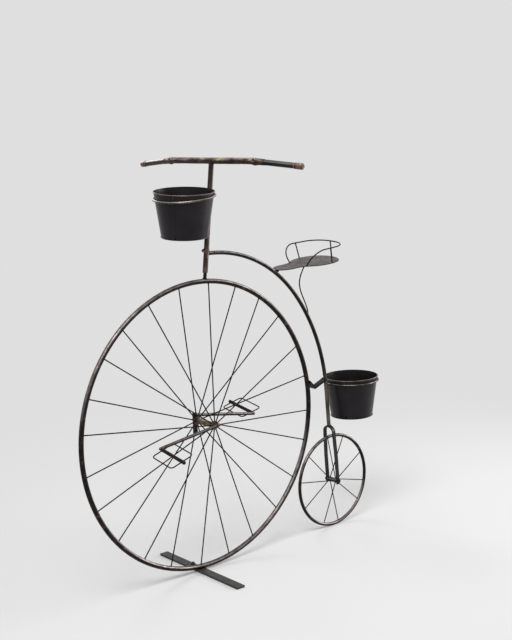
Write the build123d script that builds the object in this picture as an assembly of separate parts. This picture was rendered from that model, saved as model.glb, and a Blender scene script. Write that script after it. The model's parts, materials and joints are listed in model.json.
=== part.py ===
from build123d import *
import math
import os

# A plant stand in the shape of a penny farthing, welded from black metal tube, rod and strip.
# Units are millimetres. +Z is up, the stand faces -X and its left side is -Y.
# The origin is on the floor, in the middle of the foot bar. The hand-made slants are kept.

# Foot bar and big wheel
FOOT_LENGTH = 318.0
FOOT_WIDTH = 22.5
FOOT_THICK = 5.0
FOOT_TURN = -2.4  # degrees about Z
WHEEL_X = 29.5
WHEEL_Z = 360.0
RIM_RADIUS = 350.0  # to the middle of the rim's tube
RIM_TUBE = 12.0
SPOKE = 3.0
LEFT_SPOKES = [84.1, 56.0, 25.0, -4.6, -34.2, -65.9, -94.7, -124.5, -156.6, 172.4, 142.7, 114.7]
RIGHT_SPOKES = [69.8, 42.1, 10.7, -17.5, -49.4, -79.7, -110.1, -140.0, -171.2, 158.8, 129.4, 98.9]
HUB_X = WHEEL_X + 7.5  # the hub sits a little behind and above the rim's middle
HUB_Z = WHEEL_Z + 5.0
HUB_TUBE = 14.0
HUB_HALF = 36.5
FLANGE_RADIUS = 10.0
FLANGE_THICK = 5.0
FLANGE_Y = 33.5
SPOKE_SINK = 3.0  # how far a spoke goes into its flange or hub
AXLE_ROD = 8.0
AXLE_HALF = 40.0
AXLE_PLAY = 0.05

# Stem and handlebar
STEM_FOOT_X = 54.8
STEM_FOOT_Z = 714.0
STEM_LEAN = 0.1325  # X gained for each unit of height
STEM_TUBE = 12.7
STEM_STUD = 8.6
STEM_BOTTOM_Z = 729.0
STUD_TOP_Z = 768.0
BAR_Z = 992.0
BAR = 14.0
BAR_CORE = 11.5  # the thinner end that carries grip and cap
BAR_MIDDLE_HALF = 150.0
BAR_HALF = 298.5
BAR_SWEEP = 15.5
BAR_DROP = 12.0
BAR_BEND_RADIUS = 120.0
KNOT = 16.5
KNOT_LENGTH = 26.0
KNOT_TAPER = 8.0
KNOT_LIP = 0.3  # how far a knot's ends start below the bar's surface
BAR_LAP = 3.0  # how far the thinner end runs into the bar
GRIP = 13.4
GRIP_INNER_Y = 186.0
CAP = 15.0
CAP_LENGTH = 16.0
CAP_ROUND = 3.0
CAP_RING = 14.6
CAP_RING_BORE = 12.2
CAP_RING_LENGTH = 3.5
CAP_RING_GAP = 4.5  # between the ring and the cap

# Backbone, upright and rear fork
BACKBONE_X = 67.6
BACKBONE_Z = 420.8
BACKBONE_RADIUS = 353.6
BACKBONE_TUBE = 10.0
BACKBONE_FRONT_Z = 781.0  # where it meets the middle of the stem
LOWER_BEND_ANGLE = 38.0  # where the backbone's arc opens out, above the horizontal
REAR_X = 458.9
UPRIGHT_LEAN = 0.0564  # X lost for each unit of height
REAR_RIM_RADIUS = 120.7
REAR_RIM_ROD = 8.6
REAR_Z = REAR_RIM_RADIUS + REAR_RIM_ROD / 2
FORK_TOP_Z = 275.4
FORK_HALF = 19.0  # from the wheel's middle to the middle of a leg
FORK_SHOULDER = 15.8  # the same, at the top
FORK_KNEE = 65.0  # above the axle, where the legs start to close in
FORK_KNEE_BEND = 40.0
FORK_TOP_BEND = 15.0
FORK_WIDTH = 9.5
FORK_THICK = 4.0
FORK_TIP = 8.5  # below the axle
REAR_AXLE = 6.0
REAR_AXLE_HALF = 24.2
REAR_NUT = 11.0
REAR_NUT_THICK = 2.5
REAR_HUB = 12.0
REAR_HUB_HALF = 15.5
REAR_SPOKE = 2.5
REAR_SPOKE_Y = 11.0
REAR_LEFT_SPOKES = [97.1, 26.9, -39.4, -108.7, 171.6]
REAR_RIGHT_SPOKES = [136.1, 69.2, -13.2, -82.2, -152.1]

# Strip between the big rim and the upright
BRACKET_THICK = 5.0
BRACKET_WIDTH = 16.0
BRACKET_POINTS = [(379.5, 408.0), (399.0, 387.5), (440.5, 403.0)]  # X, Z along its middle

# Cranks and pedals
CRANK_Y = 42.0
CRANK_BAR = 8.0
CRANK_HEEL = 8.0  # the left bar's end, beyond the axle
LEFT_CRANK_END = (-169.5, -20.6)  # X, Z from the axle
RIGHT_CRANK_START = (3.0, 13.0)
RIGHT_CRANK_END = (189.5, -20.0)
LUG_WIDTH = 10.0
LUG_THICK = 6.5
LUG_TOP = 18.5
LUG_BOTTOM = 33.0
SPINDLE = 5.0
SPINDLES = {"left": (9.6, 1.8), "right": (11.0, -1.0)}  # tilt and swing in degrees, off the hub's line
PEDAL_TUBE = 8.5
PEDAL_BORE = 5.1
PEDAL_LENGTH = 79.0
PEDAL_INNER_GAP = 3.5
PEDAL_OUTER_GAP = 0.5
PEDAL_HALF_WIDTH = 31.0
PEDAL_ROLLS = {"left": 20.0, "right": 13.0}  # degrees, the rear side up
PEDAL_WIRE = 3.0
PEDAL_CORNER = 8.0
KNOB = 9.0

# Pots and their rings
RING_WIRE = 5.0
RING_GAP = 0.35  # between a ring and its pot
RING_STUB = 4.0  # short rod that welds the rear ring to the upright
POT_HEIGHT = 108.0
POT_RIM_RADIUS = 71.3
POT_BASE_RADIUS = 55.0
POT_WALL = 1.2
POT_BEAD = 2.4
POT_SLOPE = (POT_RIM_RADIUS - POT_BASE_RADIUS) / POT_HEIGHT
RINGS = [  # name, centre of the ring, rise of its plane along X and Y, height of the pot's rim over it
    ("front", (2.0, -3.0, 910.3), (0.025, 0.082), 17.0),
    ("rear", (537.0, 0.0, 384.0), (0.0, 0.0), 12.0),
]

# Seat: the outline is half its width at places behind the nose
SEAT_NOSE = (274.9, 709.1)  # X, Z of its underside
SEAT_PITCH = 2.93  # degrees, up to the rear
SEAT_ROLL = 4.22  # degrees, the right side up
SEAT_START = 5.0
SEAT_END = 209.4
SEAT_OUTLINE = [
    (15.3, 18.4),
    (40.0, 26.4),
    (68.0, 27.4),
    (82.0, 32.0),
    (101.0, 44.0),
    (120.0, 51.3),
    (147.0, 54.2),
    (175.0, 49.0),
    (191.0, 39.5),
    (203.0, 24.0),
]
SEAT_THICK = 2.0
SEAT_WIRE = 3.2
RAIL_HEIGHT = 41.9
RAIL_FOOT = (84.5, 31.0)  # along the seat from its nose, and out to each side
RAIL_FRONT = (82.3, 61.5)
RAIL_TAIL = (209.3, 53.3)
RAIL_FRONT_BEND = 37.0
RAIL_TAIL_BEND = 51.0
POSTS = [  # foot and head, each along the seat from its nose and out to the side
    ((156.8, -49.6), (144.0, -57.5)),
    ((137.0, 50.5), (131.0, 58.4)),
    ((203.0, -2.0), (208.8, 9.0)),
]
STRUT_POINTS = [  # X, Z from the backbone up to the seat
    (388.2, 585.0),
    (376.0, 621.0),
    (364.8, 647.0),
    (361.9, 669.0),
    (371.0, 693.6),
    (386.8, 715.3),
]

X, Y, Z = Vector(1, 0, 0), Vector(0, 1, 0), Vector(0, 0, 1)


def wheel_plane(x, z, y=0.0):
    """A frame that lies in the wheels' plane, with its own X along X and its own Y up."""
    return Plane(origin=(x, y, z), x_dir=(1, 0, 0), z_dir=(0, -1, 0))


def rod(start, end, diameter):
    start, end = Vector(start), Vector(end)
    along = end - start
    cylinder = Cylinder(diameter / 2, along.length, align=(Align.CENTER, Align.CENTER, Align.MIN))
    return Plane(origin=start, z_dir=along) * cylinder


def turned(start, way, outline):
    """A piece turned on a lathe: distance from the start along the way, and radius."""
    points = [(0, outline[0][0])] + [(radius, s) for s, radius in outline] + [(0, outline[-1][0])]
    profile = Polyline(points, close=True)
    return Plane(origin=start, z_dir=way) * revolve(make_face(Plane.XZ * profile), axis=Axis.Z)


def round_ended(start, end, diameter):
    """A rod whose far end is a half ball round the end point."""
    start, end = Vector(start), Vector(end)
    along = end - start
    radius = diameter / 2
    outline = Line((0, 0), (radius, 0)) + Line((radius, 0), (radius, along.length))
    outline += CenterArc((0, along.length), radius, 0, 90)
    outline += Line((0, along.length + radius), (0, 0))
    return Plane(origin=start, z_dir=along) * revolve(make_face(Plane.XZ * outline), axis=Axis.Z)


def bent(path, diameter):
    """A round bar along a path of lines and curves that meet smoothly."""
    return sweep(Plane(origin=path @ 0, z_dir=path % 0) * Circle(diameter / 2), path=path)


def across(x, z, radius, y_from, y_to):
    """A cylinder along Y."""
    return rod((x, y_from, z), (x, y_to, z), 2 * radius)


def save(name, shape):
    export_step(shape, f"parts/{name}.step")


def stem_point(z):
    return Vector(STEM_FOOT_X + STEM_LEAN * (z - STEM_FOOT_Z), 0, z)


def upright_point(z):
    return Vector(REAR_X - UPRIGHT_LEAN * (z - REAR_Z), 0, z)


def wheel_spokes(hub, middle, rim_radius, angles, y, inner, diameter):
    """Wires from one end of a hub out to the middle of the rim's rod."""
    wires = []
    for angle in angles:
        turn = math.radians(angle)
        end = middle + Vector(math.cos(turn), 0, math.sin(turn)) * rim_radius
        start = hub + (end - hub).normalized() * inner + Y * y
        wires.append(rod(start, end, diameter))
    return wires


# Foot bar and big wheel
def foot_bar():
    return Rot(0, 0, FOOT_TURN) * Pos(0, 0, FOOT_THICK / 2) * Box(FOOT_WIDTH, FOOT_LENGTH, FOOT_THICK)


def front_wheel():
    hub_centre, middle = Vector(HUB_X, 0, HUB_Z), Vector(WHEEL_X, 0, WHEEL_Z)
    rim = wheel_plane(WHEEL_X, WHEEL_Z) * Torus(RIM_RADIUS, RIM_TUBE / 2)
    hub = across(HUB_X, HUB_Z, HUB_TUBE / 2, -HUB_HALF, HUB_HALF)
    for y in (-FLANGE_Y, FLANGE_Y):
        hub += across(HUB_X, HUB_Z, FLANGE_RADIUS, y - FLANGE_THICK / 2, y + FLANGE_THICK / 2)
    sets = {}
    for side, angles, y in (("left", LEFT_SPOKES, -FLANGE_Y), ("right", RIGHT_SPOKES, FLANGE_Y)):
        wires = wheel_spokes(hub_centre, middle, RIM_RADIUS, angles, y, FLANGE_RADIUS - SPOKE_SINK, SPOKE)
        sets[side] = Compound([wire - hub - rim for wire in wires])
    hub -= across(HUB_X, HUB_Z, AXLE_ROD / 2 + AXLE_PLAY, -HUB_HALF, HUB_HALF)
    return rim, hub, sets


# Stem and handlebar
def handlebar_path(half):
    middle = stem_point(BAR_Z)
    tip = middle + (X * BAR_SWEEP - Z * BAR_DROP) * bar_reach(half)
    points = [tip - Y * half, middle - Y * BAR_MIDDLE_HALF, middle + Y * BAR_MIDDLE_HALF, tip + Y * half]
    return FilletPolyline(*points, radius=BAR_BEND_RADIUS)


def bar_reach(half):
    """How far along its outer part a place on the bar is, 0 at the bend and 1 at the tip."""
    return (half - BAR_MIDDLE_HALF) / (BAR_HALF - BAR_MIDDLE_HALF)


def bar_side(side):
    """The bend, the tip and the direction between them on one side."""
    bend = stem_point(BAR_Z) + Y * side * BAR_MIDDLE_HALF
    tip = stem_point(BAR_Z) + X * BAR_SWEEP - Z * BAR_DROP + Y * side * BAR_HALF
    return bend, tip, (tip - bend).normalized()


def handlebar():
    """A bark-covered bar with a knot at each bend, and thinner ends under the grips."""
    bar = bent(handlebar_path(GRIP_INNER_Y), BAR)
    for side in (-1, 1):
        bend, tip, way = bar_side(side)
        grip_start = bend + (tip - bend) * bar_reach(GRIP_INNER_Y)
        bar += rod(grip_start - way * BAR_LAP, tip - way * CAP_ROUND, BAR_CORE)
        low = BAR / 2 - KNOT_LIP
        knot = [(0, low), (KNOT_TAPER, KNOT / 2), (KNOT_LENGTH - KNOT_TAPER, KNOT / 2), (KNOT_LENGTH, low)]
        bar += turned(bend - Y * KNOT_LENGTH / 2, Y, knot)
    return bar


def grip(side):
    """A smooth sleeve on the bar's outer part."""
    bend, tip, way = bar_side(side)
    start = bend + (tip - bend) * bar_reach(GRIP_INNER_Y)
    sleeve = rod(start, tip - way * CAP_LENGTH, GRIP)
    return sleeve - rod(bend, tip, BAR_CORE) - cap_ring(side)


def cap_ring(side):
    tip, way = bar_side(side)[1:]
    outer = tip - way * (CAP_LENGTH + CAP_RING_GAP)
    ring = rod(outer - way * CAP_RING_LENGTH, outer, CAP_RING)
    return ring - rod(outer - way * CAP_LENGTH, tip, CAP_RING_BORE)


def bar_cap(side):
    tip, way = bar_side(side)[1:]
    start = tip - way * CAP_LENGTH
    shoulder = CAP_LENGTH - CAP_ROUND
    cap = turned(start, way, [(0, CAP / 2), (shoulder, CAP / 2), (CAP_LENGTH, CAP / 2 - CAP_ROUND)])
    return cap - rod(start - way, tip - way * CAP_ROUND, BAR_CORE)


# Backbone with the upright below it
def backbone_path():
    centre = Vector(BACKBONE_X, 0, BACKBONE_Z)
    outward = Vector(1, 0, UPRIGHT_LEAN).normalized()
    turn = math.radians(LOWER_BEND_ANGLE)
    opening = Vector(math.cos(turn), 0, math.sin(turn))
    reach = (upright_point(REAR_Z) - centre).dot(outward)
    share = opening.dot(outward)
    lower_radius = (reach - BACKBONE_RADIUS * share) / (1 - share)
    lower_centre = centre + opening * (BACKBONE_RADIUS - lower_radius)
    lift = math.asin((stem_point(BACKBONE_FRONT_Z).X - BACKBONE_X) / BACKBONE_RADIUS)
    start = centre + Vector(math.sin(lift), 0, math.cos(lift)) * BACKBONE_RADIUS
    middle_turn = (math.pi / 2 - lift + turn) / 2
    middle = centre + Vector(math.cos(middle_turn), 0, math.sin(middle_turn)) * BACKBONE_RADIUS
    knee = centre + opening * BACKBONE_RADIUS
    heel = lower_centre + outward * lower_radius
    between = (opening + outward).normalized()
    upper = ThreePointArc(start, middle, knee)
    lower = ThreePointArc(knee, lower_centre + between * lower_radius, heel)
    straight = Line(heel, upright_point(FORK_TOP_Z - FORK_THICK / 2))
    return Wire([upper, lower, straight])


# Rear fork: one strip bent over into two legs
def rear_fork():
    lean = Plane(origin=upright_point(REAR_Z), x_dir=(0, 1, 0), z_dir=(1, 0, UPRIGHT_LEAN))
    top = (upright_point(FORK_TOP_Z) - upright_point(REAR_Z)).length - FORK_THICK / 2
    leg = [(FORK_HALF, -FORK_TIP), (FORK_HALF, FORK_KNEE), (FORK_SHOULDER, top)]
    points = [(-y, height) for y, height in leg] + list(reversed(leg))
    bends = [FORK_KNEE_BEND, FORK_TOP_BEND, FORK_TOP_BEND, FORK_KNEE_BEND]
    placed = [lean.from_local_coords(Vector(y, height, 0)) for y, height in points]
    path = FilletPolyline(*placed, radius=bends)
    section = Plane(origin=path @ 0, x_dir=lean.z_dir, z_dir=path % 0) * Rectangle(FORK_WIDTH, FORK_THICK)
    return sweep(section, path=path) - across(REAR_X, REAR_Z, REAR_AXLE / 2, -REAR_AXLE_HALF, REAR_AXLE_HALF)


def rear_axle():
    axle = across(REAR_X, REAR_Z, REAR_AXLE / 2, -REAR_AXLE_HALF, REAR_AXLE_HALF)
    face = FORK_HALF + FORK_THICK / 2
    for side in (-1, 1):
        nut = RegularPolygon(REAR_NUT / 2, 6, major_radius=False)
        placed = wheel_plane(REAR_X, REAR_Z, side * (face + REAR_NUT_THICK / 2)) * nut
        axle += extrude(placed, amount=REAR_NUT_THICK / 2, both=True)
    return axle


def rear_wheel():
    middle = Vector(REAR_X, 0, REAR_Z)
    rim = wheel_plane(REAR_X, REAR_Z) * Torus(REAR_RIM_RADIUS, REAR_RIM_ROD / 2)
    hub = across(REAR_X, REAR_Z, REAR_HUB / 2, -REAR_HUB_HALF, REAR_HUB_HALF)
    wires = []
    inner = REAR_HUB / 2 - REAR_SPOKE
    for angles, y in ((REAR_LEFT_SPOKES, -REAR_SPOKE_Y), (REAR_RIGHT_SPOKES, REAR_SPOKE_Y)):
        wires += wheel_spokes(middle, middle, REAR_RIM_RADIUS, angles, y, inner, REAR_SPOKE)
    spokes = Compound([wire - hub - rim for wire in wires])
    hub -= across(REAR_X, REAR_Z, REAR_AXLE / 2 + AXLE_PLAY, -REAR_HUB_HALF, REAR_HUB_HALF)
    return rim, hub, spokes


# Bent strip that ties the big rim to the upright
def rim_bracket(rim, upright):
    middle = Polyline([(x, z) for x, z in BRACKET_POINTS])
    strip = trace(middle, line_width=BRACKET_THICK)
    strip = extrude(wheel_plane(0, 0) * strip, amount=BRACKET_WIDTH / 2, both=True)
    return strip - rim - upright


# Cranks, turning in the hub's tube
def crank_ends():
    """Each crank's end point, and the way its spindle points."""
    axle = Vector(HUB_X, 0, HUB_Z)
    ends = {}
    for side, sign, (x, z) in (("left", -1, LEFT_CRANK_END), ("right", 1, RIGHT_CRANK_END)):
        tilt, swing = [math.radians(angle) for angle in SPINDLES[side]]
        way = Vector(math.sin(swing) * math.cos(tilt), math.cos(swing) * math.cos(tilt), math.sin(tilt))
        ends[side] = (axle + Vector(x, sign * CRANK_Y, z), way * sign)
    return ends


def cranks():
    axle = across(HUB_X, HUB_Z, AXLE_ROD / 2, -AXLE_HALF, AXLE_HALF)
    centre = Vector(HUB_X, 0, HUB_Z)
    ends = crank_ends()
    root = centre - Y * CRANK_Y
    left = round_ended(root - (ends["left"][0] - root).normalized() * CRANK_HEEL, ends["left"][0], CRANK_BAR)
    start = centre + Vector(RIGHT_CRANK_START[0], CRANK_Y, RIGHT_CRANK_START[1])
    right = round_ended(start, ends["right"][0], CRANK_BAR)
    lug = Box(LUG_WIDTH, LUG_THICK, LUG_TOP + LUG_BOTTOM)
    right += Pos(HUB_X, CRANK_Y, HUB_Z + (LUG_TOP - LUG_BOTTOM) / 2) * lug
    pieces = {"left": left, "right": right}
    spindles = {}
    for side, (end, way) in ends.items():
        pieces[side] -= axle
        knob = end + way * (CRANK_BAR / 2 + PEDAL_INNER_GAP + PEDAL_LENGTH + PEDAL_OUTER_GAP + KNOB / 2)
        spindle = rod(end, knob, SPINDLE)
        spindle += Plane(origin=knob) * Sphere(KNOB / 2)
        spindles[side] = spindle - pieces[side]
    return axle, pieces, spindles


# Pedals: a tube on its spindle, with a wire loop round it
def pedal(end, way, roll):
    start = end + way * (CRANK_BAR / 2 + PEDAL_INNER_GAP)
    finish = start + way * PEDAL_LENGTH
    tube = rod(start, finish, PEDAL_TUBE)
    turn = math.radians(roll)
    level = (X - way * X.dot(way)).normalized()
    upward = level.cross(way) if level.cross(way).Z > 0 else way.cross(level)
    side = level * math.cos(turn) + upward * math.sin(turn)
    middle = start + way * PEDAL_LENGTH / 2
    flat = Plane(origin=middle, x_dir=side, z_dir=side.cross(way))
    loop = flat * RectangleRounded(2 * PEDAL_HALF_WIDTH, PEDAL_LENGTH - PEDAL_WIRE, PEDAL_CORNER)
    path = loop.wire()
    wire = sweep(Plane(origin=path @ 0, z_dir=path % 0) * Circle(PEDAL_WIRE / 2), path=path)
    bore = rod(start - way, finish + way, PEDAL_BORE)
    return tube - bore, wire - rod(start, finish, PEDAL_TUBE)


# Pots and rings
def ring_plane(centre, rise):
    return Plane(origin=centre, x_dir=(1, 0, rise[0]), z_dir=(-rise[0], -rise[1], 1))


def pot(plane, over):
    """An open pot with a bead at its rim and base, its rim as far over the ring's plane as said."""
    outline = Polyline(
        (0, 0),
        (POT_BASE_RADIUS, 0),
        (POT_RIM_RADIUS, POT_HEIGHT),
        (POT_RIM_RADIUS - POT_WALL, POT_HEIGHT),
        (POT_BASE_RADIUS - POT_WALL + POT_SLOPE * POT_WALL, POT_WALL),
        (0, POT_WALL),
        (0, 0),
    )
    body = revolve(make_face(Plane.XZ * outline), axis=Axis.Z)
    body += Pos(0, 0, POT_HEIGHT - POT_BEAD / 2) * Torus(POT_RIM_RADIUS, POT_BEAD / 2)
    body += Pos(0, 0, POT_BEAD / 2) * Torus(POT_BASE_RADIUS, POT_BEAD / 2)
    return plane * Pos(0, 0, over - POT_HEIGHT) * body


def ring_radius(over):
    return POT_RIM_RADIUS - POT_SLOPE * over + RING_GAP + RING_WIRE / 2


# Seat: a flat leaf of sheet, with a wire rail on three posts round its back
def seat_plane():
    pitch, roll = math.radians(SEAT_PITCH), math.radians(SEAT_ROLL)
    along = Vector(math.cos(pitch), 0, math.sin(pitch))
    side = Vector(-math.sin(roll) * math.sin(pitch), math.cos(roll), math.sin(roll) * math.cos(pitch))
    return Plane(origin=(SEAT_NOSE[0], 0, SEAT_NOSE[1]), x_dir=along, z_dir=along.cross(side))


def seat_leaf():
    other_side = [(x, -y) for x, y in reversed(SEAT_OUTLINE)]
    outline = Spline([(SEAT_START, 0)] + SEAT_OUTLINE + [(SEAT_END, 0)] + other_side, periodic=True)
    return extrude(seat_plane() * make_face(outline), SEAT_THICK)


def seat_rail():
    half = [(*RAIL_FOOT, SEAT_THICK / 2), (*RAIL_FRONT, RAIL_HEIGHT), (*RAIL_TAIL, RAIL_HEIGHT)]
    points = half + [(x, -y, z) for x, y, z in reversed(half)]
    bends = [RAIL_FRONT_BEND, RAIL_TAIL_BEND, RAIL_TAIL_BEND, RAIL_FRONT_BEND]
    place = seat_plane()
    path = FilletPolyline(*[place.from_local_coords(Vector(*point)) for point in points], radius=bends)
    return bent(path, SEAT_WIRE)


def seat_posts(rail, leaf):
    posts = []
    place = seat_plane()
    for foot, head in POSTS:
        low = place.from_local_coords(Vector(*foot, SEAT_THICK / 2))
        high = place.from_local_coords(Vector(*head, RAIL_HEIGHT))
        posts.append(rod(low, high, SEAT_WIRE) - rail - leaf)
    return Compound(posts)


def seat_strut(leaf, spine):
    path = Spline([(x, 0, z) for x, z in STRUT_POINTS])
    return bent(path, SEAT_WIRE) - leaf - spine


os.makedirs("parts", exist_ok=True)

rim, hub, spoke_sets = front_wheel()
save("front_rim", rim)
save("front_hub", hub)
for side, wires in spoke_sets.items():
    save(f"front_spokes_{side}", wires)
save("foot_bar", foot_bar() - rim)

bar = handlebar()
stem_line = rod(stem_point(STEM_BOTTOM_Z), stem_point(BAR_Z), STEM_TUBE)
stem = stem_line - rod(stem_point(WHEEL_Z + RIM_RADIUS), stem_point(BAR_Z + BAR), STEM_STUD) - bar
stud = rod(stem_point(WHEEL_Z + RIM_RADIUS), stem_point(STUD_TOP_Z), STEM_STUD) - rim
save("handlebar", bar)
save("stem_tube", stem)
save("stem_stud", stud)
for side, sign in (("left", -1), ("right", 1)):
    save(f"grip_{side}", grip(sign))
save("bar_caps", Compound([piece(sign) for piece in (bar_cap, cap_ring) for sign in (-1, 1)]))

spine = bent(backbone_path(), BACKBONE_TUBE)
fork = rear_fork()
save("rear_fork", fork)
save("rear_axle", rear_axle())
save("rim_bracket", rim_bracket(rim, spine))
spine = spine - stem_line - fork
save("backbone", spine)

rear_rim, rear_hub, rear_spokes = rear_wheel()
save("rear_rim", rear_rim)
save("rear_hub", rear_hub)
save("rear_spokes", rear_spokes)

axle, arms, spindles = cranks()
save("crank_axle", axle)
for side in ("left", "right"):
    save(f"crank_arm_{side}", arms[side])
    save(f"pedal_spindle_{side}", spindles[side])
    tube, loop = pedal(*crank_ends()[side], PEDAL_ROLLS[side])
    save(f"pedal_tube_{side}", tube)
    save(f"pedal_loop_{side}", loop)

for name, centre, rise, over in RINGS:
    plane = ring_plane(centre, rise)
    hoop = plane * Torus(ring_radius(over), RING_WIRE / 2)
    if name == "rear":
        hoop += rod(upright_point(centre[2]), Vector(*centre) - X * ring_radius(over), RING_STUB)
    save(f"{name}_ring", hoop - stem_line - spine)
    save(f"{name}_pot", pot(plane, over))

leaf = seat_leaf() - spine
rail = seat_rail() - leaf
save("seat_plate", leaf)
save("seat_rail", rail)
save("seat_posts", seat_posts(rail, leaf))
save("seat_strut", seat_strut(leaf, spine))
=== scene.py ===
import json
import math
from collections import namedtuple

import bpy
from mathutils import Matrix, Vector, noise


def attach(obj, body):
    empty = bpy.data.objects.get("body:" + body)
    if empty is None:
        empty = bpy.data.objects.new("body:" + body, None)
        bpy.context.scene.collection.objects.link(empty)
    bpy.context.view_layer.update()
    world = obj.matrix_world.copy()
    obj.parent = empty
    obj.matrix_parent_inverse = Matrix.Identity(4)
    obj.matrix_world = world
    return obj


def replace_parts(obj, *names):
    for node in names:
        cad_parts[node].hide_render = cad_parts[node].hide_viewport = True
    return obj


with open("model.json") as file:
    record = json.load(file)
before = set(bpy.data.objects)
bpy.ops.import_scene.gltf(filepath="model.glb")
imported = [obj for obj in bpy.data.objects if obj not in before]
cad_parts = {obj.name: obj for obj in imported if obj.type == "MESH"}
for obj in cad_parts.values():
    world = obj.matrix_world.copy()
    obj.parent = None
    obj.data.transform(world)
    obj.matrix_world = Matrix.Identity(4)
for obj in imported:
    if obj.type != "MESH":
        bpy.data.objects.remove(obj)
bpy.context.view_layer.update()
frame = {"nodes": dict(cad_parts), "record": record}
NODES = frame["nodes"]

# Sizes are in millimetres, as in the part's source, and a piece is brought to metres when it is made
MM = 0.001
X, Y, Z = Vector((1, 0, 0)), Vector((0, 1, 0)), Vector((0, 0, 1))

# The two wheels. A side is the spokes' Y at the hub and their angles in degrees from X
Wheel = namedtuple("Wheel", "hub middle radius tube hub_radius spoke bead sides")
FRONT_WHEEL = Wheel(
    hub=Vector((37, 0, 365)),
    middle=Vector((29.5, 0, 360)),
    radius=350,
    tube=6.0,
    hub_radius=10,
    spoke=1.5,
    bead=0.9,
    sides=(
        (-33.5, (84.1, 56.0, 25.0, -4.6, -34.2, -65.9, -94.7, -124.5, -156.6, 172.4, 142.7, 114.7)),
        (33.5, (69.8, 42.1, 10.7, -17.5, -49.4, -79.7, -110.1, -140.0, -171.2, 158.8, 129.4, 98.9)),
    ),
)
REAR_WHEEL = Wheel(
    hub=Vector((458.9, 0, 125)),
    middle=Vector((458.9, 0, 125)),
    radius=120.7,
    tube=4.3,
    hub_radius=6,
    spoke=1.25,
    bead=0.7,
    sides=(
        (-11, (97.1, 26.9, -39.4, -108.7, 171.6)),
        (11, (136.1, 69.2, -13.2, -82.2, -152.1)),
    ),
)

# Stem, backbone and upright. Leans are the shift along X for each millimetre of height
STEM_FOOT = Vector((54.8, 0, 714))
STEM_LEAN = 0.1325
STEM_TUBE = 6.35
STUD = 4.3
STUD_WELD_Z = 710
BACKBONE_Z = 781
BACKBONE_CENTRE = Vector((67.6, 0, 420.8))
BACKBONE_RADIUS = 353.6
BACKBONE_TUBE = 5
UPRIGHT_LEAN = 0.0564
FORK_TOP_Z = 275.4

# Handlebar. BAR_BEND is how far each bend is rounded
BAR_Z = 992
BAR = 7
BAR_MIDDLE = 150
BAR_HALF = 298.5
BAR_BEND = 8
BAR_SWEEP = 15.5
BAR_DROP = 12
GRIP_INNER_Y = 186

# Pots and their rings. Rise is how a ring's plane climbs along X and Y, for each millimetre
Ring = namedtuple("Ring", "centre rise below_top")
RINGS = {
    "front": Ring(Vector((2, -3, 910.3)), (0.025, 0.082), 17),
    "rear": Ring(Vector((537, 0, 384)), (0, 0), 12),
}
RING_WIRE = 2.5
RING_GAP = 0.35
STUB = 2.0
POT_RIM_RADIUS = 71.3
POT_BASE_RADIUS = 55.0
POT_HEIGHT = 108
POT_BEAD = 1.2
LIP_PROUD = 0.12
FOOT_BEAD = 1.4
FOOT_BEAD_OUT = 0.4
SEAM_AZIMUTH = math.radians(210)
SEAM_MARGIN = 2.0
SEAM_HEIGHTS = (SEAM_MARGIN, 30.0, 60.0, 84.0, POT_HEIGHT - SEAM_MARGIN)
SEAM_SECTION = ((-2.2, -0.15), (-1.9, 0.30), (0, 0.42), (1.2, 0.60), (1.4, -0.15), (0, -0.5))

# The front pot's ring as it shows, which sits more crooked than the pot
HOOP_CENTRE = Vector((2.7, -3.3, 913.0))
HOOP_RISE = (0.088, 0.056)
HOOP_RADIUS = 72.2
HOOP_WIRE = 2.7

# Seat. A rail end or post is the places of its foot and of its head, each along and across the plate
SEAT_NOSE = Vector((274.9, 0, 709.1))
SEAT_PITCH = math.radians(2.93)
SEAT_ROLL = math.radians(4.22)
SEAT_ALONG = Vector((math.cos(SEAT_PITCH), 0, math.sin(SEAT_PITCH)))
SEAT_SIDE = Vector((
    -math.sin(SEAT_ROLL) * math.sin(SEAT_PITCH),
    math.cos(SEAT_ROLL),
    math.sin(SEAT_ROLL) * math.cos(SEAT_PITCH),
))
SEAT_UP = SEAT_ALONG.cross(SEAT_SIDE)
SEAT_THICK = 2
SEAT_WIRE = 1.6
RAIL_HEIGHT = 41.9
RAIL_ENDS = (((84.5, 31), (82.3, 61.5)), ((84.5, -31), (82.3, -61.5)))
RAIL_POSTS = (((156.8, -49.6), (144.0, -57.5)), ((137.0, 50.5), (131.0, 58.4)), ((203, -2), (208.8, 9)))
STRUT_HEAD = 111.8
STRUT_WAY = Vector((0.890, 0, 0.456))

# Cranks and pedals. Tilt, swing and roll are in degrees
CRANK_Y = 42
CRANK_BAR = 4
PEDAL_SPINDLE = 2.5
PEDAL_TUBE = 4.25
PEDAL_WIRE = 1.5
PEDAL_GAP = 3.5
PEDAL_LENGTH = 79
Spindle = namedtuple("Spindle", "sign end tilt swing roll")
SPINDLES = {
    "left": Spindle(-1, FRONT_WHEEL.hub + Vector((-169.5, -CRANK_Y, -20.6)), 9.6, 1.8, 20),
    "right": Spindle(1, FRONT_WHEEL.hub + Vector((189.5, CRANK_Y, -20)), 11.0, -1.0, 13),
}


def stem_point(z):
    """A point on the stem's axis."""
    return Vector((STEM_FOOT.x + STEM_LEAN * (z - STEM_FOOT.z), 0, z))


def upright_point(z):
    """A point on the upright's axis."""
    return Vector((REAR_WHEEL.hub.x - UPRIGHT_LEAN * (z - REAR_WHEEL.hub.z), 0, z))


def seat_point(along, side, up):
    """A point by its place on the seat plate."""
    return SEAT_NOSE + SEAT_ALONG * along + SEAT_SIDE * side + SEAT_UP * up


STEM_WAY = (stem_point(1000) - stem_point(700)).normalized()
UPRIGHT_WAY = (upright_point(500) - upright_point(200)).normalized()


def new_object(name, data):
    made = bpy.data.objects.new(name, data)
    bpy.context.scene.collection.objects.link(made)
    return made


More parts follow.
